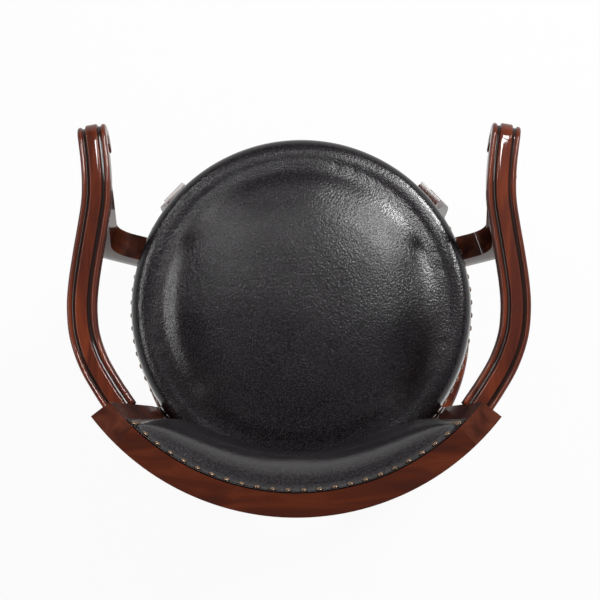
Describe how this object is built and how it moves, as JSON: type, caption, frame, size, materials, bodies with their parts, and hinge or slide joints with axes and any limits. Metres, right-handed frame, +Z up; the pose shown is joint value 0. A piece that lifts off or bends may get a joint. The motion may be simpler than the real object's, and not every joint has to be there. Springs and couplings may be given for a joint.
{
  "type": "swivel bar stool",
  "caption": "Bar-height swivel stool with a round padded seat, curved padded back, scrolled arms, bowed legs and a round footrest.",
  "frame": {"origin": "on the floor, on the axis that the seat turns about", "axes": "+Z up, the stool faces -Y, and the sitter's left hand is on the +X side"},
  "size_m": [0.5738, 0.5486, 1.118],
  "materials": {
    "mahogany": "glossy lacquered mahogany stain",
    "dark_wood": "dark stained satin lacquer",
    "plain_wood": "unfinished hidden wood",
    "leather": "black grained leather, semi-gloss",
    "steel": "zinc-plated steel",
    "bronze": "antique bronze",
    "foam": "upholstery foam",
    "nylon": "moulded nylon"
  },
  "bodies": {
    "base": {"leg_front_left": "mahogany", "leg_rear_left": "mahogany", "leg_rear_right": "mahogany", "leg_front_right": "mahogany", "apron_front": "mahogany", "apron_left": "mahogany", "apron_rear": "mahogany", "apron_right": "mahogany", "corner_block_front_left": "plain_wood", "corner_block_rear_left": "plain_wood", "corner_block_rear_right": "plain_wood", "corner_block_front_right": "plain_wood", "base_board": "plain_wood", "leg_bolts": "steel", "leg_washers": "steel", "leg_nuts": "steel", "glides": "nylon", "footrest": "mahogany", "footrest_screws": "steel", "swivel_lower_plate": "steel", "lower_plate_screws": "steel", "pivot_pin": "steel", "pivot_washer": "steel", "pivot_nut": "steel"},
    "ball_cage": {"ball_cage": "bronze", "swivel_balls": "steel"},
    "seat": {"swivel_upper_plate": "steel", "upper_plate_screws": "steel", "seat_frame": "dark_wood", "cross_rail_left": "plain_wood", "cross_rail_right": "plain_wood", "seat_board": "plain_wood", "seat_board_screws": "steel", "seat_foam": "foam", "seat_leather": "leather", "seat_nails": "bronze", "arm_support_left": "mahogany", "arm_support_right": "mahogany", "support_bolts": "steel", "arm_left": "mahogany", "arm_right": "mahogany", "arm_screws": "steel", "arm_dowels": "plain_wood", "post_left": "dark_wood", "post_right": "dark_wood", "post_bolts": "steel", "crest_rail": "mahogany", "lower_back_rail": "mahogany", "back_dowels": "plain_wood", "back_panel": "plain_wood", "outside_back": "leather", "back_pad": "leather", "back_nails": "bronze"}
  },
  "joints": [
    {"name": "seat_swivel", "type": "hinge", "parent": "base", "child": "seat", "pos_m": [0, 0, 0.631], "axis": [0, 0, 1], "continuous": true},
    {"name": "cage_turn", "type": "hinge", "parent": "base", "child": "ball_cage", "pos_m": [0, 0, 0.631], "axis": [0, 0, 1], "continuous": true}
  ],
  "couplings": [
    {"joint": "cage_turn", "follows": "seat_swivel", "ratio": 0.5}
  ]
}
